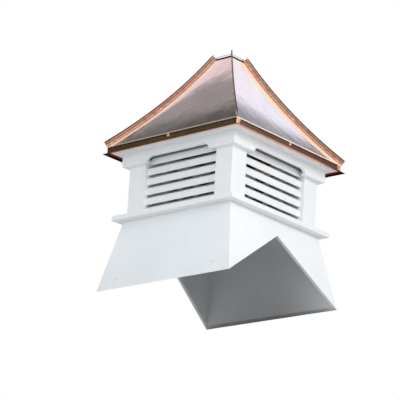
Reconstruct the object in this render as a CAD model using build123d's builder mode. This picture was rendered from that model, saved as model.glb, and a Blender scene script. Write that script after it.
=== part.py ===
# Barn cupola: flared saddle base, louvred box, frieze and a swept copper roof.
# Millimetres, +Z up. The centre of the base stands over the origin and the lowest edges lie on z = 0.
# The ridge below the cupola runs along X, so the left and right base panels carry the ridge notch.
import os
from math import atan2, cos, degrees, hypot, sin, sqrt
from build123d import *

# Louvred box
louvre_width = 660.0       # across the faces of the corner posts
post_width = 103.0         # square corner post
post_height = 321.5        # waist board to soffit
post_ease = 3.0            # rounded outer corner of a post
rail_height = 32.0         # front of the bottom rail between two posts
rail_ease = 3.0
slat_count = 5             # slats on each face
slat_thickness = 5.0
slat_nose = 32.0           # upright front of a slat
slat_depth = 44.0          # how far the blade behind the nose reaches inward
slat_rise = 29.0           # how far the blade climbs over that depth
slat_recess = 20.0         # slat noses behind the post face
slat_slot = 19.0           # gap between the rail and the lowest slat
slat_headroom = 15.5       # space kept between the slats and the soffit
slat_ease = 2.0            # rounded nose edges

# Frieze with its shallow arch
frieze_thickness = 28.0
frieze_height = 66.0
arch_width = 400.0
arch_rise = 28.0
arch_corner = 38.0         # width of the rounded end of the arch
frieze_ease = 3.0          # rounded lower edge

# Waist board and flared base
waist_thickness = 25.5
waist_overhang = 52.0      # beyond the post faces
waist_inset = 8.0          # inward of the post backs
waist_ease = 4.0           # rounded outer edges
base_height = 364.0
base_ledge = 10.0          # top of the base beyond the post faces
base_flare = 76.0          # bottom of the base beyond its top
base_board = 16.0
ridge_pitch_share = 8 / 12  # rise of the house roof over its run

# Eave
eave_overhang = 82.0       # fascia beyond the post faces
soffit_inset = 20.0        # soffit inward of the post backs
fascia_height = 34.5
fascia_gauge = 1.2
lip_reach = 15.0           # drip lip beyond the fascia
lip_drop = 5.0
return_reach = 22.0        # copper folded back under the soffit
lip_hem = 3.2              # thickness of the rolled edge of the lip
strap_front = 12.0         # corner strap, leg on the front or back fascia
strap_side = 25.0          # corner strap, leg on the left or right fascia
strap_foot = 1.0           # strap above the lip

# Swept roof
roof_rise = 506.0
roof_top_width = 104.0
roof_sag = 22.0            # hollow of the sweep below its straight line
sheet_gauge = 1.0
sheet_overhang = 3.0       # sheet edge beyond the fascia
sheet_hem = 5.0            # lower edge of the sheet, turned down over the fascia
hem_bend = 8.0             # outer radius of that bend
deck_thickness = 12.0
toe_rise = 7.0             # depth of the level cut at the foot of the deck
seam_height = 30.0
seam_gauge = 2.4
fold_gauge = 1.0           # each side of the folded seam edge
fold_share = 0.45          # folded part of the seam height
seam_run_on = 13.5         # seam past the top of the sheets
seam_corner = 6.0          # rounded ends of the seam
cap_height = 18.5
cap_gauge = 1.2
cap_margin = 2.0           # cap skirt beyond the top of the sheets
cap_lean = 5.0             # sides of the cap lean in by this much
seat_gap = 0.3             # clearance under pieces laid on a curve
overrun = 5.0              # how far a cutting shape passes its piece

# Half widths and levels that follow from the sizes
louvre_half = louvre_width / 2
opening_half = louvre_half - post_width
slat_face = louvre_half - slat_recess
slat_back = slat_face - slat_depth
frieze_half = louvre_half + frieze_thickness
waist_half = louvre_half + waist_overhang
waist_inner = opening_half - waist_inset
base_top_half = louvre_half + base_ledge
base_half = base_top_half + base_flare
eave_half = louvre_half + eave_overhang
nose_half = eave_half - fascia_gauge
soffit_inner = opening_half - soffit_inset
roof_top_half = roof_top_width / 2
waist_top = base_height + waist_thickness
soffit_level = waist_top + post_height
frieze_level = soffit_level - frieze_height
eave_level = soffit_level + fascia_height
roof_level = eave_level + roof_rise
reach_all = 2 * (base_half + eave_half)

# The sweep is one circle through the eave edge and the top edge, centred outside the roof.
edge_half = eave_half + sheet_overhang
chord = hypot(edge_half - roof_top_half, roof_rise)
sweep_radius = (chord * chord / 4 + roof_sag * roof_sag) / (2 * roof_sag)
centre_out = (sweep_radius - roof_sag) / chord
sweep_half = (edge_half + roof_top_half) / 2 + centre_out * roof_rise
sweep_level = (eave_level + roof_level) / 2 + centre_out * (edge_half - roof_top_half)
angle_eave = atan2(eave_level - sweep_level, edge_half - sweep_half)
angle_top = atan2(roof_level - sweep_level, roof_top_half - sweep_half)
middle_share = 1 / 2


def sweep_point(depth, share):
    angle = angle_eave + (angle_top - angle_eave) * share
    radius = sweep_radius + depth
    return (sweep_half + radius * cos(angle), sweep_level + radius * sin(angle))


def sweep_height(depth, half):
    radius = sweep_radius + depth
    return sweep_level - sqrt(radius * radius - (half - sweep_half) ** 2)


def sweep_width(depth, level):
    radius = sweep_radius + depth
    return sweep_half - sqrt(radius * radius - (level - sweep_level) ** 2)


def seam_point(rise, share):
    angle = angle_eave + (angle_top - angle_eave) * share
    across = sqrt(2) * sin(angle)
    along = cos(angle)
    size = hypot(across, along)
    half, level = sweep_point(0, share)
    return (sqrt(2) * half - along / size * rise, level - across / size * rise)


# Turn of each face about Z; a face looks along its own local x.
turns = {"right": 0, "back": 90, "left": 180, "front": 270}
corners = {"back_right": 0, "back_left": 90, "front_left": 180, "front_right": 270}
half_turn_share = 45


def section_plane(turn):
    return Plane.XZ.rotated((0, 0, turn))


def face_plane(turn, distance):
    return Plane.YZ.rotated((0, 0, turn)).offset(distance)


def plan_plane(turn, level):
    return Plane.XY.rotated((0, 0, turn)).offset(level)


def mitre(turn, inset):
    # Keeps only what lies between the two diagonal planes of one face.
    with BuildSketch(plan_plane(turn, -reach_all)) as plan:
        with BuildLine():
            Polyline(
                (inset, 0),
                (inset + reach_all, reach_all),
                (inset + reach_all, -reach_all),
                close=True,
            )
        make_face()
    extrude(plan.sketch, amount=2 * reach_all, mode=Mode.INTERSECT)


def save(part, label):
    part.label = label
    export_step(part, "parts/" + label + ".step")


os.makedirs("parts", exist_ok=True)

# Flared base panels, mitred on the diagonals and cut to the two roof slopes below.
flare_slope = base_flare / base_height
board_across = base_board * hypot(base_height, base_flare) / base_height
bevel_level = ridge_pitch_share * board_across / (1 - ridge_pitch_share * flare_slope)
for side in turns:
    level_cut = 0 if side in ("left", "right") else bevel_level
    with BuildPart() as panel:
        with BuildSketch(section_plane(turns[side])):
            with BuildLine():
                Polyline(
                    (base_half, 0),
                    (base_top_half, base_height),
                    (base_top_half - board_across, base_height),
                    (base_half - board_across - flare_slope * level_cut, level_cut),
                    close=True,
                )
            make_face()
        extrude(amount=base_half, both=True)
        mitre(turns[side], 0)
        if level_cut == 0:
            with BuildSketch(face_plane(turns[side], 0)):
                with BuildLine():
                    Polyline(
                        (-base_half, 0),
                        (0, ridge_pitch_share * base_half),
                        (base_half, 0),
                        close=True,
                    )
                make_face()
            extrude(amount=reach_all, mode=Mode.SUBTRACT)
    save(panel.part, "base_" + side + "_panel")

# Waist boards lie on the base and carry the posts.
for side in turns:
    with BuildPart() as board:
        with BuildSketch(section_plane(turns[side])) as profile:
            with BuildLine():
                Polyline(
                    (waist_inner, base_height),
                    (waist_half, base_height),
                    (waist_half, waist_top),
                    (waist_inner, waist_top),
                    close=True,
                )
            make_face()
            fillet(profile.vertices().group_by(Axis.X)[-1], radius=min(waist_ease, waist_thickness / 3))
        extrude(amount=waist_half, both=True)
        mitre(turns[side], 0)
    save(board.part, "waist_board_" + side)

# Square corner posts.
for corner in corners:
    with BuildPart() as post:
        with BuildSketch(plan_plane(corners[corner], waist_top)) as profile:
            with BuildLine():
                Polyline(
                    (louvre_half, louvre_half),
                    (louvre_half, opening_half),
                    (opening_half, opening_half),
                    (opening_half, louvre_half),
                    close=True,
                )
            make_face()
            fillet(profile.vertices().sort_by(lambda point: point.X + point.Y)[-1], radius=post_ease)
        extrude(amount=post_height)
    save(post.part, "corner_post_" + corner)

# Bottom rails between the posts, with a sloping sill behind the front edge.
rail_top = waist_top + rail_height
for side in turns:
    with BuildPart() as rail:
        with BuildSketch(section_plane(turns[side])) as profile:
            with BuildLine():
                Polyline(
                    (slat_back, waist_top),
                    (slat_face, waist_top),
                    (slat_face, rail_top),
                    (slat_back, rail_top + slat_rise),
                    close=True,
                )
            make_face()
            fillet(profile.vertices().group_by(Axis.X)[-1].sort_by(Axis.Y)[-1], radius=rail_ease)
        extrude(amount=opening_half, both=True)
    save(rail.part, "bottom_rail_" + side)

# Louvre slats between the posts: an upright nose folded into a blade that climbs inward.
slat_start = rail_top + slat_slot
slat_spacing = (soffit_level - slat_headroom - slat_start) / slat_count
blade_length = hypot(slat_depth, slat_rise)
blade_plumb = slat_thickness * blade_length / slat_depth
inner_drop = blade_plumb - slat_thickness * slat_rise / slat_depth
for side in turns:
    with BuildPart() as slats:
        with BuildSketch(section_plane(turns[side])) as profile:
            for step in range(slat_count):
                low = slat_start + step * slat_spacing
                bend = low + slat_nose
                with BuildLine():
                    Polyline(
                        (slat_face, low),
                        (slat_face, bend),
                        (slat_back, bend + slat_rise),
                        (slat_back, bend + slat_rise - blade_plumb),
                        (slat_face - slat_thickness, bend - inner_drop),
                        (slat_face - slat_thickness, low),
                        close=True,
                    )
                make_face()
            fillet(profile.vertices().group_by(Axis.X)[-1], radius=min(slat_ease, slat_thickness / 3))
        extrude(amount=opening_half, both=True)
    save(slats.part, "louvre_slats_" + side)

# Frieze boards outside the posts, with a shallow round-ended arch over the louvres.
arch_half = arch_width / 2
arch_flat = arch_half - arch_corner
arch_level = frieze_level + arch_rise
quarter_turn = 90
for side in turns:
    with BuildPart() as frieze:
        with BuildSketch(section_plane(turns[side])) as profile:
            with BuildLine():
                Polyline(
                    (louvre_half, frieze_level),
                    (frieze_half, frieze_level),
                    (frieze_half, soffit_level),
                    (louvre_half, soffit_level),
                    close=True,
                )
            make_face()
            fillet(profile.vertices().sort_by(lambda point: point.X - point.Y)[-1], radius=frieze_ease)
        extrude(amount=frieze_half, both=True)
        mitre(turns[side], 0)
        with BuildSketch(face_plane(turns[side], louvre_half - overrun)):
            with BuildLine():
                Polyline(
                    (-arch_half, frieze_level),
                    (-arch_half, frieze_level - overrun),
                    (arch_half, frieze_level - overrun),
                    (arch_half, frieze_level),
                )
                EllipticalCenterArc(
                    (arch_flat, frieze_level), arch_corner, arch_rise, arc_size=quarter_turn
                )
                Line((arch_flat, arch_level), (-arch_flat, arch_level))
                EllipticalCenterArc(
                    (-arch_flat, frieze_level),
                    arch_corner,
                    arch_rise,
                    start_angle=quarter_turn,
                    arc_size=quarter_turn,
                )
            make_face()
        extrude(amount=frieze_thickness + 2 * overrun, mode=Mode.SUBTRACT)
    save(frieze.part, "frieze_" + side)

# Soffit boards sit on the posts; the deck toes rest on them.
deck_top = sheet_gauge + seat_gap
deck_under = deck_top + deck_thickness
soffit_top = sweep_height(deck_under, nose_half) + toe_rise
for side in turns:
    with BuildPart() as soffit:
        with BuildSketch(section_plane(turns[side])):
            with BuildLine():
                Polyline(
                    (soffit_inner, soffit_level),
                    (nose_half, soffit_level),
                    (nose_half, soffit_top),
                    (soffit_inner, soffit_top),
                    close=True,
                )
            make_face()
        extrude(amount=eave_half, both=True)
        mitre(turns[side], 0)
    save(soffit.part, "soffit_" + side)

# Swept roof deck, mitred at the hips.
toe_inner = sweep_width(deck_under, soffit_top)
for side in turns:
    with BuildPart() as deck:
        with BuildSketch(section_plane(turns[side])):
            with BuildLine():
                Line((nose_half, soffit_top), (nose_half, sweep_height(deck_top, nose_half)))
                ThreePointArc(
                    (nose_half, sweep_height(deck_top, nose_half)),
                    sweep_point(deck_top, middle_share),
                    sweep_point(deck_top, 1),
                )
                Line(sweep_point(deck_top, 1), sweep_point(deck_under, 1))
                ThreePointArc(
                    sweep_point(deck_under, 1),
                    sweep_point(deck_under, middle_share),
                    (toe_inner, soffit_top),
                )
                Line((toe_inner, soffit_top), (nose_half, soffit_top))
            make_face()
        extrude(amount=eave_half, both=True)
        mitre(turns[side], 0)
    save(deck.part, "roof_deck_" + side)

# Copper sheets on the deck, each ending at the flank of a hip seam, with the eave edge turned down.
seam_inset = seam_gauge / sqrt(2)
hem_half = edge_half - sheet_gauge
hem_under = sweep_height(sheet_gauge, hem_half)
for side in turns:
    with BuildPart() as sheet:
        with BuildSketch(section_plane(turns[side])) as profile:
            with BuildLine():
                ThreePointArc(sweep_point(0, 0), sweep_point(0, middle_share), sweep_point(0, 1))
                Line(sweep_point(0, 1), sweep_point(sheet_gauge, 1))
                ThreePointArc(
                    sweep_point(sheet_gauge, 1),
                    sweep_point(sheet_gauge, middle_share),
                    (hem_half, hem_under),
                )
                Polyline(
                    (hem_half, hem_under),
                    (hem_half, eave_level - sheet_hem),
                    (edge_half, eave_level - sheet_hem),
                    sweep_point(0, 0),
                )
            make_face()
            inner_bend = profile.vertices().sort_by_distance((hem_half, hem_under))[0]
            fillet(inner_bend, radius=hem_bend - sheet_gauge)
            outer_bend = profile.vertices().sort_by_distance(sweep_point(0, 0))[0]
            fillet(outer_bend, radius=hem_bend)
        extrude(amount=edge_half, both=True)
        mitre(turns[side], seam_inset)
    save(sheet.part, "roof_sheet_" + side)

# Drip edges: fascia, a lip that kicks out to a rolled edge and a return under the soffit.
# The front and back ones carry straps that fold round the corners onto their neighbours.
fascia_top = sweep_height(sheet_gauge, eave_half) - seat_gap
strap_half = eave_half + fascia_gauge
strap_top = sweep_height(sheet_gauge, strap_half) - 2 * seat_gap
for side in turns:
    with BuildPart() as drip:
        with BuildSketch(section_plane(turns[side])):
            with BuildLine():
                Polyline(
                    (nose_half, fascia_top),
                    (eave_half, fascia_top),
                    (eave_half, soffit_level),
                    (eave_half + lip_reach, soffit_level - lip_drop),
                    (eave_half + lip_reach, soffit_level - lip_drop - fascia_gauge),
                    (eave_half, soffit_level - fascia_gauge),
                    (eave_half - return_reach, soffit_level - fascia_gauge),
                    (eave_half - return_reach, soffit_level),
                    (nose_half, soffit_level),
                    close=True,
                )
            make_face()
            with Locations((eave_half + lip_reach, soffit_level - lip_drop - fascia_gauge / 2)):
                Circle(lip_hem / 2)
        extrude(amount=eave_half + lip_reach + lip_hem, both=True)
        mitre(turns[side], 0)
        if side in ("front", "back"):
            with BuildSketch(plan_plane(turns[side], soffit_level + strap_foot)):
                with BuildLine():
                    Polyline(
                        (eave_half, eave_half - strap_front),
                        (strap_half, eave_half - strap_front),
                        (strap_half, strap_half),
                        (eave_half - strap_side, strap_half),
                        (eave_half - strap_side, eave_half),
                        (eave_half, eave_half),
                        close=True,
                    )
                make_face()
                mirror(about=Plane.XZ)
            extrude(amount=strap_top - soffit_level - strap_foot)
    save(drip.part, "eave_drip_" + side)

# Standing seams on the hips, drawn in the diagonal planes, folded over at the outer edge and rounded at the ends.
hip_length = hypot(sqrt(2) * (edge_half - roof_top_half), roof_rise)
run_share = 1 + seam_run_on / hip_length
corner_share = seam_corner / hip_length
seam_shares = [run_share * step / 8 for step in range(9)]
crest_shares = [corner_share + (run_share - 2 * corner_share) * step / 8 for step in range(9)]
fold_rise = seam_height * (1 - fold_share)
corner_rise = seam_height - seam_corner
bend_share = 1 - sqrt(1 / 2)   # how far a quarter circle stays from its corner
bend_rise = seam_height - seam_corner * bend_share
for corner in corners:
    with BuildPart() as seam:
        for low_rise, half_gauge in ((-sheet_gauge, seam_gauge / 2), (fold_rise, seam_gauge / 2 + fold_gauge)):
            with BuildSketch(section_plane(corners[corner] + half_turn_share)):
                with BuildLine():
                    foot = Spline(*[seam_point(low_rise, share) for share in seam_shares])
                    crest = Spline(*[seam_point(seam_height, share) for share in crest_shares])
                    eave_end = Line(foot @ 0, seam_point(corner_rise, 0))
                    top_end = Line(foot @ 1, seam_point(corner_rise, run_share))
                    ThreePointArc(eave_end @ 1, seam_point(bend_rise, corner_share * bend_share), crest @ 0)
                    ThreePointArc(
                        top_end @ 1, seam_point(bend_rise, run_share - corner_share * bend_share), crest @ 1
                    )
                make_face()
            extrude(amount=half_gauge, both=True)
    save(seam.part, "hip_seam_" + corner)

# Top cap: a shallow pan with leaning sides, set between the seam ends.
cap_half = roof_top_half + cap_margin
cap_inner = cap_half - cap_gauge
cap_level = roof_level + cap_height
cap_foot = sweep_height(0, cap_inner) + seat_gap
cap_rise = cap_level - cap_foot
cap_slope = degrees(atan2(cap_lean, cap_rise))
slot_half = seam_gauge / 2 + fold_gauge + seat_gap
slot_start = seam_point(-sheet_gauge, run_share)[0] - seat_gap
with BuildPart() as cap:
    with BuildSketch(Plane.XY.offset(cap_foot)):
        Rectangle(2 * cap_half, 2 * cap_half)
    extrude(amount=cap_rise, taper=cap_slope)
    with BuildSketch(Plane.XY.offset(cap_foot)):
        Rectangle(2 * cap_inner, 2 * cap_inner)
    extrude(amount=cap_rise - cap_gauge, taper=cap_slope, mode=Mode.SUBTRACT)
    for corner in corners:
        with BuildSketch(plan_plane(corners[corner] + half_turn_share, cap_foot)):
            with BuildLine():
                Polyline(
                    (slot_start, -slot_half),
                    (2 * cap_half, -slot_half),
                    (2 * cap_half, slot_half),
                    (slot_start, slot_half),
                    close=True,
                )
            make_face()
        extrude(amount=cap_rise, mode=Mode.SUBTRACT)
save(cap.part, "roof_cap")
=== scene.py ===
import math
import bpy
import bmesh
from mathutils import Matrix, Vector


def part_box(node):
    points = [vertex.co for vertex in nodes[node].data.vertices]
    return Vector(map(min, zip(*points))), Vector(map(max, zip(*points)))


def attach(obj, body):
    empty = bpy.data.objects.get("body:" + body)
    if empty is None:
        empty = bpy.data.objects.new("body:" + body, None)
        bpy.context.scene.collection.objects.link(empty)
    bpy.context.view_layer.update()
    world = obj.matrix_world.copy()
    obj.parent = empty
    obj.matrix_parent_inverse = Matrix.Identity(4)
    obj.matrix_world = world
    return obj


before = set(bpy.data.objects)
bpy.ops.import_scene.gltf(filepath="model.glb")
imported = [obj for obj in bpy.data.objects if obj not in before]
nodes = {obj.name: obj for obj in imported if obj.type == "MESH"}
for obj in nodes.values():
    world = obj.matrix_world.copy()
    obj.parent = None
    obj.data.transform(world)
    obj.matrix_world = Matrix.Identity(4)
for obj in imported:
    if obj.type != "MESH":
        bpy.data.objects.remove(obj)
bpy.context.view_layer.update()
scene = bpy.context.scene
sideTurns = {"right": 0, "back": 90, "left": 180, "front": 270}  # degrees from facing +X
cornerTurns = {"back_right": 45, "back_left": 135, "front_left": 225, "front_right": 315}
print("frame loaded:", len(nodes), "nodes")


# heights and half widths read back from the frame
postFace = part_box("corner_post_back_right")[1][0]
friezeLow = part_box("frieze_right")[0][2]
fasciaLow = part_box("soffit_right")[0][2]
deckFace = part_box("roof_deck_right")[1][0]
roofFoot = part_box("roof_sheet_right")[0][2]
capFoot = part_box("roof_cap")[0][2]
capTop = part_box("roof_cap")[1][2]
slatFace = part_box("louvre_slats_right")[1][0]


# circle that the roof sweeps along, from three points of one sheet's outer face
outerTilt = 0.3  # an outer face looks outward and up by more than this


def sweepCircle(node):
    data = nodes[node].data
    outer = set()
    for face in data.polygons:
        if min(face.normal.x, face.normal.z) > outerTilt:
            outer.update(face.vertices)
    spots = sorted((data.vertices[v].co.z, data.vertices[v].co.x) for v in outer)
    level = (spots[0][0] + spots[-1][0]) / 2.0
    middle = min(spots, key=lambda spot: abs(spot[0] - level))
    (az, ax), (bz, bx), (cz, cx) = spots[0], middle, spots[-1]
    twice = 2.0 * (ax * (bz - cz) + bx * (cz - az) + cx * (az - bz))
    a, b, c = ax * ax + az * az, bx * bx + bz * bz, cx * cx + cz * cz
    half = (a * (bz - cz) + b * (cz - az) + c * (az - bz)) / twice
    rise = (a * (cx - bx) + b * (ax - cx) + c * (bx - ax)) / twice
    return half, rise, math.hypot(ax - half, az - rise)


sweepHalf, sweepLevel, sweepRadius = sweepCircle("roof_sheet_right")
print("sweep circle:", round(sweepHalf, 4), round(sweepLevel, 4), round(sweepRadius, 4))


# camera where the photograph was taken from
cameraSet = {
    "around": 40.49,      # degrees round from the front towards the right
    "distance": 9.08156,  # level distance from the middle
    "height": -2.40878,   # eye height against the foot of the base
    "yaw": 0.70,
    "pitch": 17.82,
    "roll": 3.30,
    "lens": 173.66,
    "sensor": 36.0,
    "farthest": 60.0,
}


def makeCamera(s):
    around, yaw = math.radians(s["around"]), math.radians(s["yaw"])
    pitch, roll = math.radians(s["pitch"]), math.radians(s["roll"])
    eye = Vector((s["distance"] * math.sin(around), -s["distance"] * math.cos(around), s["height"]))
    turn = around + yaw
    ahead = Vector((-math.sin(turn) * math.cos(pitch), math.cos(turn) * math.cos(pitch),
                    math.sin(pitch)))
    level = Vector((math.cos(turn), math.sin(turn), 0.0))
    upright = level.cross(ahead)
    across = math.cos(roll) * level + math.sin(roll) * upright
    upward = math.cos(roll) * upright - math.sin(roll) * level
    data = bpy.data.cameras.new("photoCamera")
    data.lens = s["lens"]
    data.sensor_width = s["sensor"]
    data.clip_end = s["farthest"]
    camera = bpy.data.objects.new("photoCamera", data)
    attitude = Matrix((across, upward, -ahead)).transposed()
    camera.matrix_world = Matrix.Translation(eye) @ attitude.to_4x4()
    scene.collection.objects.link(camera)
    scene.camera = camera
    scene.view_settings.view_transform = "Standard"


makeCamera(cameraSet)
print("camera set")


# small helpers for node trees
def addNode(tree, kind, values=None, **settings):
    node = tree.nodes.new(kind)
    for key, value in settings.items():
        setattr(node, key, value)
    for key, value in (values or {}).items():
        node.inputs[key].default_value = value
    return node


def startMaterial(name, rough, metal=0.0):
    material = bpy.data.materials.new(name)
    material.use_nodes = True
    tree = material.node_tree
    shader = tree.nodes["Principled BSDF"]
    shader.inputs["Roughness"].default_value = rough
    shader.inputs["Metallic"].default_value = metal
    return material, tree, shader


def place(tree, stretch=(1.0, 1.0, 1.0)):
    coords = addNode(tree, "ShaderNodeTexCoord")
    mapping = addNode(tree, "ShaderNodeMapping", {"Scale": stretch})
    tree.links.new(coords.outputs["Object"], mapping.inputs["Vector"])
    return mapping.outputs["Vector"]


def cloud(tree, where, scale, detail=3.0, rough=0.55, warp=0.0):
    node = addNode(tree, "ShaderNodeTexNoise", {
        "Scale": scale, "Detail": detail, "Roughness": rough, "Distortion": warp})
    tree.links.new(where, node.inputs["Vector"])
    return node.outputs["Fac"]


def ramp(tree, value, spots, tones):
    node = addNode(tree, "ShaderNodeValToRGB")
    marks = node.color_ramp.elements
    while len(marks) < len(spots):
        marks.new(0.5)
    for mark, spot, tone in zip(marks, spots, tones):
        mark.position = spot
        mark.color = (*tone, 1.0)
    tree.links.new(value, node.inputs["Fac"])
    return node.outputs["Color"]


def spread(tree, value, low, high, fromLow=0.3, fromHigh=0.7):
    node = addNode(tree, "ShaderNodeMapRange", {
        "From Min": fromLow, "From Max": fromHigh, "To Min": low, "To Max": high})
    tree.links.new(value, node.inputs["Value"])
    return node.outputs["Result"]


def rising(tree, value, start, end):
    return spread(tree, value, 0.0, 1.0, start, end)


def falling(tree, value, start, end):
    return spread(tree, value, 1.0, 0.0, start, end)


def offsets(base, pair):
    return base + pair[0], base + pair[1]


def combine(tree, how, first, second=0.0):
    node = addNode(tree, "ShaderNodeMath", operation=how)
    for socket, value in zip(node.inputs, (first, second)):
        if isinstance(value, (int, float)):
            socket.default_value = value
        else:
            tree.links.new(value, socket)
    return node.outputs["Value"]


def plus(tree, first, second):
    return combine(tree, "ADD", first, second)


def minus(tree, first, second):
    return combine(tree, "SUBTRACT", first, second)


def times(tree, first, second):
    return combine(tree, "MULTIPLY", first, second)


def over(tree, first, second):
    return combine(tree, "DIVIDE", first, second)


def larger(tree, first, second):
    return combine(tree, "MAXIMUM", first, second)


def size(tree, value):
    return combine(tree, "ABSOLUTE", value)


def blendColour(tree, amount, first, second, how="MIX"):
    node = addNode(tree, "ShaderNodeMix", data_type="RGBA", blend_type=how)
    if isinstance(amount, (int, float)):
        node.inputs[0].default_value = amount
    else:
        tree.links.new(amount, node.inputs[0])
    for socket, value in ((node.inputs[6], first), (node.inputs[7], second)):
        if isinstance(value, tuple):
            socket.default_value = (*value, 1.0)
        else:
            tree.links.new(value, socket)
    return node.outputs[2]


def relief(tree, height, distance, before=None):
    node = addNode(tree, "ShaderNodeBump", {"Strength": 1.0, "Distance": distance})
    tree.links.new(height, node.inputs["Height"])
    if before is not None:
        tree.links.new(before, node.inputs["Normal"])
    return node.outputs["Normal"]


def axes(tree, where):
    node = addNode(tree, "ShaderNodeSeparateXYZ")
    tree.links.new(where, node.inputs["Vector"])
    return node.outputs["X"], node.outputs["Y"], node.outputs["Z"]


def facing(tree):
    return axes(tree, addNode(tree, "ShaderNodeNewGeometry").outputs["Normal"])


def outward(tree, x, y):
    return larger(tree, size(tree, x), size(tree, y))


def along(tree, first, second):
    products = [times(tree, a, b) for a, b in zip(first, second)]
    return plus(tree, products[0], products[1])


def span(tree, x, y):
    return combine(tree, "SQRT", along(tree, (x, y), (x, y)))


def fadeTo(tree, amount, value, target):
    return plus(tree, value, times(tree, amount, minus(tree, target, value)))


# satin white paint, rolled on, with a little dust and rain marking, and near-black painted shade inside
# the louvres and under the arches
paintSet = {
    "basePaint": {"pale": (0.875, 0.888, 0.90), "deep": (0.845, 0.862, 0.88), "dust": 0.10,
                  "foot": 0.11},  # height of the splashed foot
    "trimPaint": {"pale": (0.875, 0.885, 0.895), "deep": (0.85, 0.862, 0.875), "dust": 0.08},
    "friezePaint": {"pale": (0.875, 0.885, 0.895), "deep": (0.85, 0.862, 0.875), "dust": 0.08,
                    "reveal": (0.012, 0.012, 0.013)},  # near-black painted shade on the underside of the arch
    "postPaint": {"pale": (0.88, 0.89, 0.90), "deep": (0.855, 0.868, 0.88), "dust": 0.08,
                  "inset": 0.008},  # painted shade from here inward, behind the slat noses
    "slatPaint": {"pale": (0.88, 0.888, 0.895), "deep": (0.85, 0.862, 0.872), "dust": 0.10,
                  "inset": 0.018},
    "capPaint": {"pale": (0.80, 0.815, 0.83), "deep": (0.72, 0.735, 0.75), "dust": 0.12},
    # soffit paint is a little darker and cooler than the trim: painted shade
    "soffitPaint": {"pale": (0.84, 0.86, 0.885), "deep": (0.815, 0.84, 0.865), "dust": 0.10},
}
paintLook = {  # shared by every paint; noise as scale and detail
    "rough": 0.42,
    "roller": (4.5, 4.0),
    "rollerStops": (0.30, 0.72),
    "rollerGloss": (0.36, 0.46),
    "rollerDepth": 0.0009,
    "streakGrain": (34.0, 34.0, 2.6),  # streaks run down
    "streakRange": (0.54, 0.80),
    "speck": (120.0, 2.0),
    "speckRange": (0.68, 0.80),
    "speckShare": 1.6,                 # of the dust
    "splash": (22.0, 5.0),
    "splashRange": (0.42, 0.75),
    "splashMost": 0.20,
    "stipple": (210.0, 2.0),
    "stippleGloss": (-0.03, 0.04),
    "stippleDepth": 0.00022,
    "dustTone": (0.60, 0.585, 0.55),
}
louvreShadeSet = {  # near-black painted shade inside the louvres
    "tone": (0.03, 0.03, 0.03),
    "fade": (-0.003, 0.0),
    "inward": (-0.10, -0.03),  # on faces that look to the middle
    "down": (-0.5, -0.2),      # and on faces that look down
    "unlitReach": (0.30, 0.50),      # painted shade is lighter towards the front left and back right corners, where the slot ends look lit
}
# painted shade on the downward faces of the arch, above the frieze's foot
archShadeSet = {"down": (-0.75, -0.2), "rise": (0.002, 0.006), "depth": (0.0115, 0.0135)}


# near-black painted shade on faces behind the slat noses that look inward or down
def louvreShade(tree, inset):
    s = louvreShadeSet
    x, y, _ = axes(tree, place(tree))
    nx, ny, nz = facing(tree)
    behind = falling(tree, outward(tree, x, y), *offsets(slatFace - inset, s["fade"]))
    inward = falling(tree, along(tree, (nx, ny), (x, y)), *s["inward"])
    down = falling(tree, nz, *s["down"])
    unlitReach = falling(tree, size(tree, plus(tree, x, y)), *s["unlitReach"])
    return times(tree, times(tree, behind, unlitReach), larger(tree, inward, down))


def archShade(tree):
    s = archShadeSet
    x, y, z = axes(tree, place(tree))
    under = falling(tree, facing(tree)[2], *s["down"])
    above = rising(tree, z, *offsets(friezeLow, s["rise"]))
    inner = falling(tree, outward(tree, x, y), *offsets(postFace, s["depth"]))
    return times(tree, times(tree, under, inner), above)


def makePaint(name, s):
    look = paintLook
    material, tree, shader = startMaterial(name, look["rough"])
    flat = place(tree)
    roller = cloud(tree, flat, *look["roller"])
    tone = ramp(tree, roller, look["rollerStops"], (s["deep"], s["pale"]))
    runs = cloud(tree, place(tree, look["streakGrain"]), 1.0)
    streak = spread(tree, runs, 0.0, s["dust"], *look["streakRange"])
    specks = cloud(tree, flat, *look["speck"])
    speck = spread(tree, specks, 0.0, s["dust"] * look["speckShare"], *look["speckRange"])
    marks = larger(tree, streak, speck)
    if "foot" in s:
        low = falling(tree, axes(tree, flat)[2], 0.0, s["foot"])
        splash = cloud(tree, flat, *look["splash"])
        splash = spread(tree, splash, 0.0, look["splashMost"], *look["splashRange"])
        marks = larger(tree, marks, times(tree, low, splash))
    tone = blendColour(tree, marks, tone, look["dustTone"])
    # painted shade inside the louvres
    if "inset" in s:
        tone = blendColour(tree, louvreShade(tree, s["inset"]), tone, louvreShadeSet["tone"])
    # painted shade under the arches
    if "reveal" in s:
        tone = blendColour(tree, archShade(tree), tone, s["reveal"])
    tree.links.new(tone, shader.inputs["Base Color"])
    stipple = cloud(tree, flat, *look["stipple"])
    gloss = plus(tree, spread(tree, roller, *look["rollerGloss"]),
                 spread(tree, stipple, *look["stippleGloss"]))
    tree.links.new(plus(tree, gloss, marks), shader.inputs["Roughness"])
    wave = relief(tree, roller, look["rollerDepth"])
    tree.links.new(relief(tree, stipple, look["stippleDepth"], wave), shader.inputs["Normal"])
    return material


materials = {name: makePaint(name, values) for name, values in paintSet.items()}
print("paint mixed")


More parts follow.
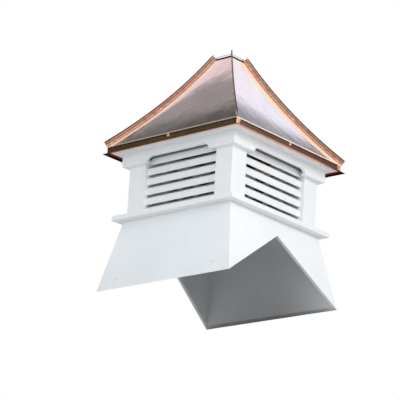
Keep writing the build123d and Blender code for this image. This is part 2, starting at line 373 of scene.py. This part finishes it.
# new copper: bright sheet, and deeper tones on folded pieces
copperSet = {
    "sheetCopper": {"pale": (0.93, 0.70, 0.62), "deep": (0.87, 0.63, 0.55), "tarnish": (0.42, 0.28, 0.22),
                    "stained": 0.14, "rough": (0.08, 0.16), "waves": 0.0020, "ripple": 0.0008,
                    "grain": (30.0, 30.0, 2.2)},
    "dripCopper": {"pale": (0.93, 0.60, 0.46), "deep": (0.86, 0.52, 0.39), "tarnish": (0.34, 0.20, 0.13),
                   "stained": 0.18, "rough": (0.16, 0.27), "waves": 0.0005,
                   "grain": (3.0, 3.0, 60.0), "edgeTint": (0.80, 0.36, 0.28)},
    "seamCopper": {"pale": (0.97, 0.77, 0.66), "deep": (0.91, 0.66, 0.55), "tarnish": (0.33, 0.19, 0.13),
                   "stained": 0.42, "rough": (0.18, 0.30), "waves": 0.0005,
                   "grain": (5.0, 5.0, 5.0), "mottle": 0.38},
    "capCopper": {"pale": (0.93, 0.75, 0.69), "deep": (0.88, 0.66, 0.58), "tarnish": (0.40, 0.26, 0.20),
                  "stained": 0.10, "rough": (0.14, 0.24), "waves": 0.0003,
                  "grain": (26.0, 26.0, 4.0)},
    "tipCopper": {"pale": (0.90, 0.63, 0.50), "deep": (0.80, 0.50, 0.38), "tarnish": (0.32, 0.17, 0.10),
                  "stained": 0.25, "rough": (0.22, 0.36), "waves": 0.0001,
                  "grain": (60.0, 60.0, 60.0)},
    "rivetCopper": {"pale": (0.98, 0.68, 0.52), "deep": (0.92, 0.56, 0.40), "tarnish": (0.40, 0.20, 0.12),
                    "stained": 0.16, "rough": (0.34, 0.46), "waves": 0.0001,
                    "grain": (90.0, 90.0, 90.0)},
}
copperLook = {  # shared by every copper; noise as scale, detail, roughness and warp
    "broad": (3.2, 3.0, 0.5, 0.35),
    "broadStops": (0.30, 0.66),
    "mill": (1.0, 4.0, 0.6),  # along the grain
    "millStain": (0.50, 0.80),
    "millShare": 0.6,         # of the stain
    "millGloss": (-0.03, 0.05),
    "millDepth": 0.00005,
    "handled": (13.0, 6.0, 0.62, 0.5),
    "handledStain": (0.50, 0.78),
    "handledGloss": (0.34, 0.72),
    "swell": (5.0, 1.0, 0.4),
    "ripple": (15.0, 2.0, 0.5),
    "mottle": (46.0, 3.0, 0.6),
    "mottleRange": (0.46, 0.64),
}

# sheet edges are turned up against the front left and back right hip seams
curlSet = {
    "width": 0.018,      # front and back sheets
    "sideWidth": 0.026,  # left and right sheets
    "slope": 0.55,
    "start": (0.0, 0.002),
    "hipLine": (-0.0001, 0.0001),
}
reflectionBandSet = {  # cream bands along the turned-up edges, a painted warm reflection of the hip seams: width at the cap, and how much wider at the eave
    "front": (0.010, 0.022),
    "side": (0.046, 0.026),
    "frontTone": (1.0, 0.72, 0.58),
    "sideTone": (1.0, 0.71, 0.51),
    "turnTone": (1.0, 0.58, 0.38),  # right against the seam
    "turn": (0.15, 0.45),           # shares of the width
    "edge": (0.80, 1.05),
    "metal": 0.3,
    "rough": 0.32,
}
# painted highlight along the bend of the sheets' hem: pale on the left and right sheets, a dull painted
# reflection on the front and back
hemHighlightSet = {
    "rise": 0.007,
    "fade": (-0.001, 0.001),
    "sideTone": (1.0, 0.77, 0.65),
    "frontTone": (0.55, 0.48, 0.39),
    "rough": 0.45,
    "sideMetal": 0.35,
}


def fallOff(tree, value, width):
    return combine(tree, "EXPONENT", times(tree, over(tree, value, width), -1.0))


def dressSheet(tree, parts):
    curl, band, hem = curlSet, reflectionBandSet, hemHighlightSet
    x, y, z = axes(tree, place(tree))
    lean = minus(tree, size(tree, x), size(tree, y))
    gap = times(tree, size(tree, lean), math.sqrt(0.5))  # from the hip
    curled = rising(tree, times(tree, x, y), *curl["start"])
    side = rising(tree, lean, *curl["hipLine"])
    width = spread(tree, side, curl["width"], curl["sideWidth"], 0.0, 1.0)
    lift = times(tree, fallOff(tree, gap, width), times(tree, width, curl["slope"]))
    parts["normal"] = relief(tree, times(tree, lift, curled), 1.0, parts["normal"])
    foot = falling(tree, z, roofFoot, capFoot)
    least = spread(tree, side, band["front"][0], band["side"][0], 0.0, 1.0)
    wider = spread(tree, side, band["front"][1], band["side"][1], 0.0, 1.0)
    wide = plus(tree, least, times(tree, wider, times(tree, foot, foot)))
    share = over(tree, gap, wide)
    # painted reflection of the seam along the turned-up edge
    finReflection = times(tree, falling(tree, share, *band["edge"]), curled)
    finReflectionTone = blendColour(tree, side, band["frontTone"], band["sideTone"])
    finReflectionTone = blendColour(tree, falling(tree, share, *band["turn"]), finReflectionTone, band["turnTone"])
    hemHighlight = falling(tree, z, *offsets(roofFoot + hem["rise"], hem["fade"]))
    hemHighlightTone = blendColour(tree, side, hem["frontTone"], hem["sideTone"])
    tone = blendColour(tree, finReflection, parts["tone"], finReflectionTone)
    parts["tone"] = blendColour(tree, hemHighlight, tone, hemHighlightTone)
    gloss = fadeTo(tree, finReflection, parts["gloss"], band["rough"])
    parts["gloss"] = fadeTo(tree, hemHighlight, gloss, hem["rough"])
    metal = fadeTo(tree, finReflection, 1.0, band["metal"])
    parts["metal"] = fadeTo(tree, times(tree, hemHighlight, side), metal, hem["sideMetal"])


# hip seams: tone by height above the sheet, with painted shade along the foot and the fold, and a painted
# dark reflection on the crest and on faces seen edge-on
seamSet = {
    "height": 0.030,
    "spots": (0.0, 0.05, 0.44, 0.49, 0.55, 0.60, 0.80, 0.87),  # shares of the height
    "tones": ((0.42, 0.28, 0.22), (1.0, 0.88, 0.82), (1.0, 0.92, 0.86), (0.30, 0.19, 0.14),
              (0.28, 0.18, 0.13), (0.90, 0.80, 0.74), (0.80, 0.70, 0.64), (0.10, 0.06, 0.045)),
    "edgeShadeTone": (0.32, 0.15, 0.105),
    "edgeTurn": (0.35, 0.6),
    "tipEdgeShade": (0.05, 0.03, 0.024),
}


def edgeOn(tree, x, y):
    nx, ny, nz = facing(tree)
    turn = size(tree, over(tree, along(tree, (nx, ny), (x, y)), span(tree, x, y)))
    return rising(tree, larger(tree, turn, size(tree, nz)), *seamSet["edgeTurn"])


def dressSeam(tree, parts):
    s = seamSet
    x, y, z = axes(tree, place(tree))
    half = times(tree, plus(tree, size(tree, x), size(tree, y)), 0.5)
    out = minus(tree, half, sweepHalf)
    up = minus(tree, z, sweepLevel)
    outTwo = times(tree, out, out)
    upTwo = times(tree, up, up)
    reach = combine(tree, "SQRT", plus(tree, outTwo, upTwo))
    slant = combine(tree, "SQRT", plus(tree, times(tree, outTwo, 0.5), upTwo))  # along the hip
    lift = over(tree, minus(tree, sweepRadius, reach), over(tree, slant, reach))
    zones = ramp(tree, over(tree, lift, s["height"]), s["spots"], s["tones"])
    tone = blendColour(tree, 1.0, parts["tone"], zones, "MULTIPLY")
    parts["tone"] = blendColour(tree, edgeOn(tree, x, y), tone, s["edgeShadeTone"])


# painted dark reflection on the clips' edge-on faces
def dressTip(tree, parts):
    x, y, _ = axes(tree, place(tree))
    parts["tone"] = blendColour(tree, edgeOn(tree, x, y), parts["tone"], seamSet["tipEdgeShade"])


# eave drips: front fascia darker, part weathering and part painted dark reflection; red lip with painted
# shade on the front and far ends; painted pale reflection on the return; painted shade under the hem;
# painted highlight on the corner straps
dripSet = {
    "gauge": 0.0012,
    "frontWeatherAndReflection": (0.52, 0.62, 0.44),      # front fascia darker: part weathering, part painted dark reflection
    "frontEdge": (-0.001, 0.004),
    "foot": (-0.0006, 0.0004),            # lip and return, below the fascia
    "lipTone": (0.86, 0.53, 0.41),
    "lipFrontShade": (0.24, 0.13, 0.085),
    "lipFarShade": (0.018, 0.006, 0.004),
    "lipEdge": (-0.0015, 0.0015),
    "farBack": (0.20, 0.36),              # where the painted shade on the lip starts
    "farLeft": (-0.415, -0.36),
    "returnReflectionTone": (0.95, 0.73, 0.65),
    "returnPaleReflection": (0.93, 0.90, 0.89),
    "returnEdge": (-0.010, -0.004),
    "frontShare": 0.75,                   # of returnReflectionTone, along the front
    "frontReturn": (0.024, 0.030),
    # painted shade on stretches of the return along the left and back edges: width and tone
    "farEnds": {"red": (0.021, (0.36, 0.12, 0.095)), "dark": (0.013, (0.085, 0.034, 0.025))},
    "farFade": 0.002,
    "shadeTone": (0.20, 0.11, 0.08),      # painted shade under the sheet's hem
    "shadeEdge": (-0.005, -0.004),
    # pale painted highlight on the corner straps, turning orange further in
    "strapHighlightTone": (1.0, 0.74, 0.55),
    "strapTurn": (0.86, 0.44, 0.24),
    "strapFace": (0.0004, 0.0007),
    "strapEdge": (0.011, 0.014),
    "strapRough": 0.5,
    "strapMetal": 0.45,
}


def dressDrip(tree, parts):
    s = dripSet
    face = deckFace + s["gauge"]
    x, y, z = axes(tree, place(tree))
    depth = outward(tree, x, y)
    low = falling(tree, z, *offsets(fasciaLow, s["foot"]))
    lip = times(tree, low, rising(tree, depth, *offsets(face, s["lipEdge"])))
    inner = minus(tree, low, lip)
    strap = minus(tree, rising(tree, x, *offsets(face, s["strapFace"])), low)
    front = falling(tree, y, *offsets(-face, s["frontEdge"]))
    tone = blendColour(tree, front, parts["tone"], s["frontWeatherAndReflection"], "MULTIPLY")
    # painted pale reflection on the return below the fascia
    flush = times(tree, rising(tree, depth, *offsets(face, s["returnEdge"])),
                  spread(tree, y, s["frontShare"], 1.0, *offsets(-face, s["frontReturn"])))
    returnReflectionTone = blendColour(tree, flush, s["returnPaleReflection"], s["returnReflectionTone"])
    tone = blendColour(tree, inner, tone, returnReflectionTone)
    for reach, farShadeTone in s["farEnds"].values():
        left = falling(tree, x, reach - face - s["farFade"], reach - face)
        back = rising(tree, y, face - reach, face - reach + s["farFade"])
        tone = blendColour(tree, times(tree, inner, larger(tree, left, back)), tone, farShadeTone)
    # painted shade: the lip darker along the front and near black towards the left and back ends
    far = larger(tree, rising(tree, y, *s["farBack"]), falling(tree, x, *s["farLeft"]))
    lipTone = blendColour(tree, front, s["lipTone"], s["lipFrontShade"])
    tone = blendColour(tree, lip, tone, blendColour(tree, far, lipTone, s["lipFarShade"]))
    tone = blendColour(tree, rising(tree, z, *offsets(roofFoot, s["shadeEdge"])), tone, s["shadeTone"])
    # painted highlight on the corner strap
    near = rising(tree, minus(tree, face, size(tree, y)), *s["strapEdge"])
    strapHighlightTone = blendColour(tree, near, s["strapHighlightTone"], s["strapTurn"])
    parts["tone"] = blendColour(tree, strap, tone, strapHighlightTone)
    parts["gloss"] = fadeTo(tree, larger(tree, inner, strap), parts["gloss"], s["strapRough"])
    parts["metal"] = fadeTo(tree, strap, 1.0, s["strapMetal"])


# roof cap: painted shade as a dark line under the hem and along the top bend
capSet = {
    "hem": (0.0085, 0.0093),
    "bend": (-0.0030, -0.0022),
    "shadeLineTone": (0.02, 0.012, 0.010),
    "upright": (0.5, 0.8),
    "topMetal": 0.4,
}


def dressCap(tree, parts):
    s = capSet
    z = axes(tree, place(tree))[2]
    upright = falling(tree, size(tree, facing(tree)[2]), *s["upright"])
    hem = falling(tree, z, *offsets(capFoot, s["hem"]))
    bend = rising(tree, z, *offsets(capTop, s["bend"]))
    shadeLine = larger(tree, hem, times(tree, bend, upright))
    parts["tone"] = blendColour(tree, shadeLine, parts["tone"], s["shadeLineTone"])
    parts["metal"] = fadeTo(tree, upright, s["topMetal"], 1.0)


dressing = {"sheetCopper": dressSheet, "seamCopper": dressSeam, "tipCopper": dressTip,
            "dripCopper": dressDrip, "capCopper": dressCap}
copperSockets = {"tone": "Base Color", "gloss": "Roughness", "normal": "Normal", "metal": "Metallic"}


def makeCopper(name, s):
    look = copperLook
    material, tree, shader = startMaterial(name, s["rough"][0], 1.0)
    flat = place(tree)
    broad = cloud(tree, flat, *look["broad"])
    mill = cloud(tree, place(tree, s["grain"]), *look["mill"])
    handled = cloud(tree, flat, *look["handled"])
    tone = ramp(tree, broad, look["broadStops"], (s["deep"], s["pale"]))
    stain = plus(tree, spread(tree, handled, 0.0, s["stained"], *look["handledStain"]),
                 spread(tree, mill, 0.0, s["stained"] * look["millShare"], *look["millStain"]))
    tone = blendColour(tree, stain, tone, s["tarnish"])
    if "mottle" in s:
        patches = cloud(tree, flat, *look["mottle"])
        patches = spread(tree, patches, 0.0, s["mottle"], *look["mottleRange"])
        tone = blendColour(tree, patches, tone, s["tarnish"])
    gloss = plus(tree, spread(tree, handled, *s["rough"], *look["handledGloss"]),
                 spread(tree, mill, *look["millGloss"]))
    wave = relief(tree, cloud(tree, flat, *look["swell"]), s["waves"])
    if "ripple" in s:
        wave = relief(tree, cloud(tree, flat, *look["ripple"]), s["ripple"], wave)
    parts = {"tone": tone, "gloss": gloss, "normal": relief(tree, mill, look["millDepth"], wave)}
    if name in dressing:
        dressing[name](tree, parts)
    if "edgeTint" in s:
        shader.inputs["Specular Tint"].default_value = (*s["edgeTint"], 1.0)
    for key, value in parts.items():
        tree.links.new(value, shader.inputs[copperSockets[key]])
    return material


materials.update({name: makeCopper(name, values) for name, values in copperSet.items()})
print("copper mixed")


# plywood under the copper, its tone far darker than bare plywood: painted shade for the inside of the
# cupola
plySet = {
    "pale": (0.15, 0.105, 0.07),
    "deep": (0.075, 0.05, 0.03),
    "stops": (0.2, 0.75),
    "grain": (5.0, 5.0, 46.0),
    "bands": {"Scale": 1.6, "Distortion": 7.0, "Detail": 3.0, "Detail Scale": 0.8},
    "bandShare": 0.55,
    "wander": (6.0, 3.0),
    "wanderShare": 0.45,
    "rough": 0.7,
    "gloss": (0.62, 0.80),
    "depth": 0.0004,
}


def makePly(name, s):
    material, tree, shader = startMaterial(name, s["rough"])
    wander = cloud(tree, place(tree), *s["wander"])
    bands = addNode(tree, "ShaderNodeTexWave", s["bands"], bands_direction="Z")
    tree.links.new(place(tree, s["grain"]), bands.inputs["Vector"])
    fibre = plus(tree, times(tree, bands.outputs["Fac"], s["bandShare"]),
                 times(tree, wander, s["wanderShare"]))
    tone = ramp(tree, fibre, s["stops"], (s["deep"], s["pale"]))
    tree.links.new(tone, shader.inputs["Base Color"])
    tree.links.new(spread(tree, fibre, *s["gloss"]), shader.inputs["Roughness"])
    tree.links.new(relief(tree, fibre, s["depth"]), shader.inputs["Normal"])
    return material


materials["deckPly"] = makePly("deckPly", plySet)

finishes = {  # by the start of the node's name
    "base_": "basePaint", "waist_board": "trimPaint", "corner_post": "postPaint",
    "bottom_rail": "postPaint", "louvre_slats": "slatPaint", "frieze": "friezePaint",
    "soffit": "soffitPaint", "roof_deck": "deckPly", "roof_sheet": "sheetCopper",
    "eave_drip": "dripCopper", "hip_seam": "seamCopper", "roof_cap": "capCopper",
}
for nodeName, nodeObject in nodes.items():
    finish = next(value for start, value in finishes.items() if nodeName.startswith(start))
    nodeObject.data.materials.clear()
    nodeObject.data.materials.append(materials[finish])
print("finishes laid on", len(nodes), "nodes")


# mesh helpers for the added pieces
def keep(build, name, material):
    bmesh.ops.recalc_face_normals(build, faces=build.faces)
    data = bpy.data.meshes.new(name)
    build.to_mesh(data)
    build.free()
    data.materials.append(materials[material])
    piece = bpy.data.objects.new(name, data)
    scene.collection.objects.link(piece)
    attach(piece, "root")


def lathe(build, profile, steps, spot, toward):
    spin = Vector((0.0, 0.0, 1.0)).rotation_difference(toward).to_matrix()
    rings = []
    for radius, height in profile:
        if radius == 0.0:
            rings.append([build.verts.new(spot + spin @ Vector((0.0, 0.0, height)))])
            continue
        ring = []
        for k in range(steps):
            turn = 2.0 * math.pi * k / steps
            point = Vector((radius * math.cos(turn), radius * math.sin(turn), height))
            ring.append(build.verts.new(spot + spin @ point))
        rings.append(ring)
    for low, high in zip(rings, rings[1:]):
        for k in range(steps):
            places = ((low, k), (low, k + 1), (high, k + 1), (high, k))
            corners = dict.fromkeys(ring[n % len(ring)] for ring, n in places)  # a tip counts once
            face = build.faces.new(list(corners))
            face.smooth = True


def turned(point, degrees):
    return Matrix.Rotation(math.radians(degrees), 3, "Z") @ Vector(point)


# blind rivets along the fascias, on the corner straps and along the hip seams
rivetSet = {
    "profile": [(0.0, -0.0006), (0.0074, -0.0006), (0.0074, 0.0004), (0.0066, 0.0019), (0.0044, 0.0033),
                (0.0024, 0.0036), (0.0018, 0.0026), (0.0, 0.0024)],
    "steps": 24,
    "fasciaScale": 1.25,
    "frontShift": -0.015,   # the front one sits a little to one side
    "fasciaRise": 0.023,    # above the soffit
    "cornerInset": 0.020,   # strap rivet in from the corner
    "seamHalves": (0.398, 0.232, 0.072),
    "seamLift": 0.0075,     # above the sheet
    "seamFlank": 0.0012,    # out from the middle of the seam
}


def fasciaRivets(s):
    face = deckFace + dripSet["gauge"]
    level = fasciaLow + s["fasciaRise"]
    profile = [(radius * s["fasciaScale"], rise * s["fasciaScale"]) for radius, rise in s["profile"]]
    for side, turn in sideTurns.items():
        build = bmesh.new()
        toward = turned((1.0, 0.0, 0.0), turn)
        shift = s["frontShift"] if side == "front" else 0.0
        lathe(build, profile, s["steps"], turned((face, shift, level), turn), toward)
        if side in ("left", "right"):
            reach = face + dripSet["gauge"]
            for across in (-face + s["cornerInset"], face - s["cornerInset"]):
                lathe(build, profile, s["steps"], turned((reach, across, level), turn), toward)
        keep(build, "fascia_rivets_" + side, "rivetCopper")


def seamRivets(s):
    for corner, turn in cornerTurns.items():
        build = bmesh.new()
        for half in s["seamHalves"]:
            rise = sweepLevel - math.sqrt(sweepRadius ** 2 - (half - sweepHalf) ** 2)
            out, up = (sweepHalf - half) * math.sqrt(0.5), sweepLevel - rise
            lift = Vector((out, up)).normalized() * s["seamLift"]
            for flank in (-1.0, 1.0):
                spot = (half * math.sqrt(2.0) + lift.x, flank * s["seamFlank"], rise + lift.y)
                toward = turned((0.0, flank, 0.0), turn)
                lathe(build, s["profile"], s["steps"], turned(spot, turn), toward)
        keep(build, "seam_rivets_" + corner, "rivetCopper")


fasciaRivets(rivetSet)
seamRivets(rivetSet)
print("rivets set")


# folded clips over the top ends of the hip seams
tipSet = {
    "length": 0.011,
    "wide": 0.0064,
    "wall": 0.0009,
    "above": 0.004,   # over the crest of the seam
    "below": 0.014,
    "steps": 8,       # round the top
    "lean": 0.10,
    "shares": (-0.25, 0.0, 0.5, 0.75),  # cuts along the length
    "fall": 1.2,      # drop over the length
    "crest": 0.003,   # depth of the seam's end taken as its crest
}


def clipOutline(s):
    walls = []  # down one wall, over the rounded top and down the other wall, then back inside
    for reach in (s["wide"] / 2.0, s["wide"] / 2.0 - s["wall"]):
        turns = [math.pi * k / s["steps"] for k in range(s["steps"] + 1)]
        arc = [(reach * math.cos(turn), reach * math.sin(turn)) for turn in turns]
        walls.append([(reach, -s["below"])] + arc + [(-reach, -s["below"])])
    return walls[0] + walls[1][::-1]


def seamTips(s):
    loop = clipOutline(s)
    count = len(loop) // 2
    for corner, turn in cornerTurns.items():
        data = nodes["hip_seam_" + corner].data
        flat = [(turned(v.co, -turn).x, v.co.z) for v in data.vertices]
        crest = max(z for _, z in flat)
        end = min(r for r, z in flat if z > crest - s["crest"])
        build = bmesh.new()
        rings = []
        for share in s["shares"]:
            bow = s["lean"] * s["length"] * share * share
            top = crest + s["above"] - s["wide"] / 2.0 - share * s["length"] * s["fall"]
            spots = [(end + share * s["length"] + bow, across, top + up) for across, up in loop]
            rings.append([build.verts.new(turned(spot, turn)) for spot in spots])
        for first, second in zip(rings, rings[1:]):
            for k in range(len(loop)):
                follow = (k + 1) % len(loop)
                build.faces.new((first[k], first[follow], second[follow], second[k]))
        for ring in (rings[0], rings[-1]):
            for k in range(count - 1):
                build.faces.new((ring[k], ring[k + 1], ring[-2 - k], ring[-1 - k]))
        keep(build, "seam_tip_" + corner, "tipCopper")


seamTips(tipSet)
print("seam tips set")


# painted screw caps near the foot of the base panels
screwSet = {
    "profile": [(0.0, -0.0008), (0.0082, -0.0008), (0.0082, 0.0006), (0.0074, 0.0018), (0.0058, 0.0024),
                (0.0040, 0.0021), (0.0030, 0.0012), (0.0, 0.0011)],
    "steps": 24,
    "across": 0.303,  # either side of the middle
    "rise": 0.055,
}


def screwCaps(s):
    for side in ("front", "back"):
        toward = turned((1.0, 0.0, 0.0), sideTurns[side])
        faces = nodes["base_" + side + "_panel"].data.polygons
        plane = max(faces, key=lambda face: face.area * max(0.0, face.normal.dot(toward)))
        build = bmesh.new()
        for across in (-s["across"], s["across"]):
            spot = turned((0.0, across, s["rise"]), sideTurns[side])
            gap = (plane.center - spot).dot(plane.normal) / toward.dot(plane.normal)
            lathe(build, s["profile"], s["steps"], spot + toward * gap, plane.normal.copy())
        keep(build, "base_screw_caps_" + side, "capPaint")


screwCaps(screwSet)
print("screw caps set")


# studio: floor, world, lamps and reflector cards
stageSet = {
    "floorSize": 9.0,
    "floorFade": (2.0, 4.3),  # distance over which the floor fades for the eye
    "floorTone": (0.80, 0.79, 0.775),
    "floorRough": 0.9,
    "skyTone": (0.93, 0.965, 1.0),
    "skyLight": 0.72,
}


def mixShaders(tree, amount, first, second, output):
    mix = addNode(tree, "ShaderNodeMixShader")
    tree.links.new(amount, mix.inputs[0])
    tree.links.new(first.outputs[0], mix.inputs[1])
    tree.links.new(second.outputs[0], mix.inputs[2])
    tree.links.new(mix.outputs[0], tree.nodes[output].inputs["Surface"])


def keepStage(build, name, material):
    data = bpy.data.meshes.new(name)
    build.to_mesh(data)
    build.free()
    data.materials.append(material)
    piece = bpy.data.objects.new(name, data)
    scene.collection.objects.link(piece)
    return piece


def makeFloor(s):
    half = s["floorSize"] / 2.0
    material, tree, shader = startMaterial("floorPaper", s["floorRough"])
    shader.inputs["Base Color"].default_value = (*s["floorTone"], 1.0)
    x, y, _ = axes(tree, place(tree))
    seen = addNode(tree, "ShaderNodeLightPath").outputs["Is Camera Ray"]
    faded = times(tree, rising(tree, span(tree, x, y), *s["floorFade"]), seen)
    # the eye is below the floor, so its underside is clear
    below = addNode(tree, "ShaderNodeNewGeometry").outputs["Backfacing"]
    clear = addNode(tree, "ShaderNodeBsdfTransparent")
    mixShaders(tree, larger(tree, below, faded), shader, clear, "Material Output")
    build = bmesh.new()
    corners = ((-half, -half), (half, -half), (half, half), (-half, half))
    build.faces.new([build.verts.new((x, y, 0.0)) for x, y in corners])
    keepStage(build, "studioFloor", material)


def makeWorld(s):
    world = bpy.data.worlds.new("studioWorld")
    scene.world = world
    world.use_nodes = True
    tree = world.node_tree
    light = tree.nodes["Background"]
    light.inputs["Color"].default_value = (*s["skyTone"], 1.0)
    light.inputs["Strength"].default_value = s["skyLight"]
    backdrop = addNode(tree, "ShaderNodeBackground", {"Color": (1.0, 1.0, 1.0, 1.0), "Strength": 1.0})
    path = addNode(tree, "ShaderNodeLightPath").outputs
    shows = larger(tree, path["Is Camera Ray"], path["Is Glossy Ray"])
    shows = larger(tree, shows, path["Is Transmission Ray"])
    mixShaders(tree, shows, light, backdrop, "World Output")


lampSet = {
    "keyLamp": {"around": 78.0, "rise": 16.0, "away": 6.0, "size": 2.6, "power": 140.0,
                "tone": (1.0, 0.99, 0.975)},
    "fillLamp": {"around": 14.0, "rise": 7.0, "away": 6.5, "size": 2.8, "power": 64.0,
                 "tone": (0.90, 0.965, 1.0)},
}
lampAim = Vector((0.0, 0.0, 0.62))


def heading(around, rise):
    a, e = math.radians(around), math.radians(rise)
    return Vector((math.sin(a) * math.cos(e), -math.cos(a) * math.cos(e), math.sin(e)))


def makeLamp(name, s):
    data = bpy.data.lights.new(name, "AREA")
    data.shape = "SQUARE"
    data.size = s["size"]
    data.energy = s["power"]
    data.color = s["tone"]
    lamp = bpy.data.objects.new(name, data)
    toward = heading(s["around"], s["rise"])
    lamp.location = lampAim + toward * s["away"]
    lamp.rotation_euler = toward.to_track_quat("Z", "Y").to_euler()
    lamp.visible_glossy = False
    scene.collection.objects.link(lamp)


# cards seen only in the copper: angles round from the front and above the horizon, the nearest first
cardSet = {
    "cardFrontLeft": {"around": (-78.0, -8.0), "rise": (-12.0, 29.0), "soft": 4.0, "ragged": 0.0,
                      "tone": (0.085, 0.074, 0.058), "streak": (0.105, 0.090, 0.070)},
    "cardFrontRight": {"around": (12.0, 84.0), "rise": (-12.0, 31.0), "soft": 6.0, "ragged": 0.0,
                       "tone": (0.68, 0.53, 0.46), "streak": (0.57, 0.42, 0.36)},
    "cardBackRight": {"around": (104.0, 176.0), "rise": (-12.0, 27.0), "soft": 4.0, "ragged": 0.0,
                      "tone": (0.125, 0.125, 0.13), "streak": (0.14, 0.12, 0.11)},
    "cardLeftWarm": {"around": (-82.0, -24.0), "rise": (58.0, 86.0), "soft": 6.0, "ragged": 0.0,
                     "tone": (1.10, 0.98, 0.90), "streak": (1.05, 0.98, 0.92)},
    "cardRightWarm": {"around": (104.0, 160.0), "rise": (46.0, 80.0), "soft": 6.0, "ragged": 0.0,
                      "tone": (1.10, 0.98, 0.88), "streak": (1.05, 0.98, 0.92)},
    "cardCapFront": {"around": (-64.0, -28.0), "rise": (30.0, 54.0), "soft": 5.0, "ragged": 0.0,
                     "tone": (1.05, 1.30, 1.45), "streak": (1.05, 1.30, 1.45)},
    "cardCapRight": {"around": (112.0, 158.0), "rise": (28.0, 50.0), "soft": 5.0, "ragged": 0.0,
                     "tone": (1.05, 1.30, 1.45), "streak": (1.05, 1.30, 1.45)},
    "cardFinFront": {"around": (-18.0, 34.0), "rise": (34.0, 70.0), "soft": 8.0, "ragged": 0.0,
                     "tone": (0.95, 1.08, 1.12), "streak": (1.0, 1.05, 1.05)},
    "cardFinRight": {"around": (56.0, 104.0), "rise": (32.0, 64.0), "soft": 8.0, "ragged": 0.0,
                     "tone": (1.0, 1.16, 1.16), "streak": (1.05, 1.10, 1.0)},
    "cardBackSky": {"around": (158.0, 199.5), "rise": (28.0, 72.0), "soft": 9.0, "ragged": 0.7,
                    "tone": (0.92, 1.12, 1.46), "streak": (1.02, 1.18, 1.36)},
    "cardBackBlue": {"around": (186.0, 214.0), "rise": (14.0, 52.0), "soft": 4.0, "ragged": 0.3,
                     "tone": (0.17, 0.23, 0.30), "streak": (0.34, 0.41, 0.47)},
    "cardLeftFoot": {"around": (-172.0, -102.0), "rise": (-12.0, 80.0), "soft": 14.0, "ragged": 0.3,
                     "tone": (0.080, 0.090, 0.088), "streak": (0.12, 0.132, 0.134)},
    "cardLeftDark": {"around": (-172.0, -104.0), "rise": (-12.0, 80.0), "soft": 7.0, "ragged": 0.6,
                     "tone": (0.155, 0.182, 0.19), "streak": (0.23, 0.26, 0.275)},
    "cardLeftGrey": {"around": (-172.0, -87.0), "rise": (-12.0, 82.0), "soft": 4.0, "ragged": 0.9,
                     "tone": (0.26, 0.30, 0.335), "streak": (0.37, 0.41, 0.45)},
    "cardLeftSky": {"around": (-112.0, -60.0), "rise": (32.0, 84.0), "soft": 7.0, "ragged": 0.0,
                    "tone": (0.86, 0.86, 1.0), "streak": (0.92, 0.88, 0.98)},
}
cardLook = {  # shared by every card; noise as scale, detail, roughness and warp
    "centre": (0.0, 0.0, 1.0),
    "reach": 6.0,
    "gap": 0.15,  # from one card to the next behind it
    "steps": 24,
    "broad": (0.9, 4.0, 0.6, 0.6),
    "broadGrain": (0.9, 0.9, 2.6),
    "broadShare": 0.55,
    "puffs": (2.6, 4.0, 0.6, 0.5),
    "puffsGrain": (1.0, 1.0, 1.7),
    "puffsShare": 0.45,
    "stops": (0.43, 0.59),
    "ragged": 3.0,
    "edge": (0.1, 0.9),
}


def cardMaterial(name, s):
    look = cardLook
    material, tree, shader = startMaterial(name, 1.0)
    tree.nodes.remove(shader)
    broad = cloud(tree, place(tree, look["broadGrain"]), *look["broad"])
    puffs = cloud(tree, place(tree, look["puffsGrain"]), *look["puffs"])
    wisps = plus(tree, times(tree, broad, look["broadShare"]), times(tree, puffs, look["puffsShare"]))
    glow = addNode(tree, "ShaderNodeEmission")
    tone = ramp(tree, wisps, look["stops"], (s["tone"], s["streak"]))
    tree.links.new(tone, glow.inputs["Color"])
    fade = addNode(tree, "ShaderNodeAttribute", attribute_name="fade").outputs["Fac"]
    ragged = times(tree, minus(tree, wisps, 0.5), look["ragged"] * s["ragged"])
    low, high = look["edge"]
    shows = addNode(tree, "ShaderNodeMapRange", {"From Min": low, "From Max": high},
                    interpolation_type="SMOOTHSTEP")
    tree.links.new(plus(tree, fade, times(tree, fade, ragged)), shows.inputs["Value"])
    clear = addNode(tree, "ShaderNodeBsdfTransparent")
    mixShaders(tree, shows.outputs["Result"], clear, glow, "Material Output")
    return material


def makeCard(name, s, reach):
    steps = cardLook["steps"]
    build = bmesh.new()
    fadeLayer = build.verts.layers.float.new("fade")
    rows = []
    for i in range(steps + 1):
        row = []
        for j in range(steps + 1):
            around = s["around"][0] + i / steps * (s["around"][1] - s["around"][0])
            rise = s["rise"][0] + j / steps * (s["rise"][1] - s["rise"][0])
            vert = build.verts.new(Vector(cardLook["centre"]) + heading(around, rise) * reach)
            edge = min(around - s["around"][0], s["around"][1] - around, s["rise"][1] - rise)
            vert[fadeLayer] = max(0.0, min(1.0, edge / s["soft"]))
            row.append(vert)
        rows.append(row)
    for first, second in zip(rows, rows[1:]):
        for k in range(steps):
            build.faces.new((first[k], first[k + 1], second[k + 1], second[k]))
    card = keepStage(build, name, cardMaterial(name, s))
    card.visible_camera = False
    card.visible_diffuse = False
    card.visible_shadow = False
    card.visible_transmission = False


makeFloor(stageSet)
makeWorld(stageSet)
for lampName, lampValues in lampSet.items():
    makeLamp(lampName, lampValues)
for cardIndex, (cardName, cardValues) in enumerate(cardSet.items()):
    makeCard(cardName, cardValues, cardLook["reach"] + cardIndex * cardLook["gap"])
print("studio set")

bpy.context.view_layer.update()
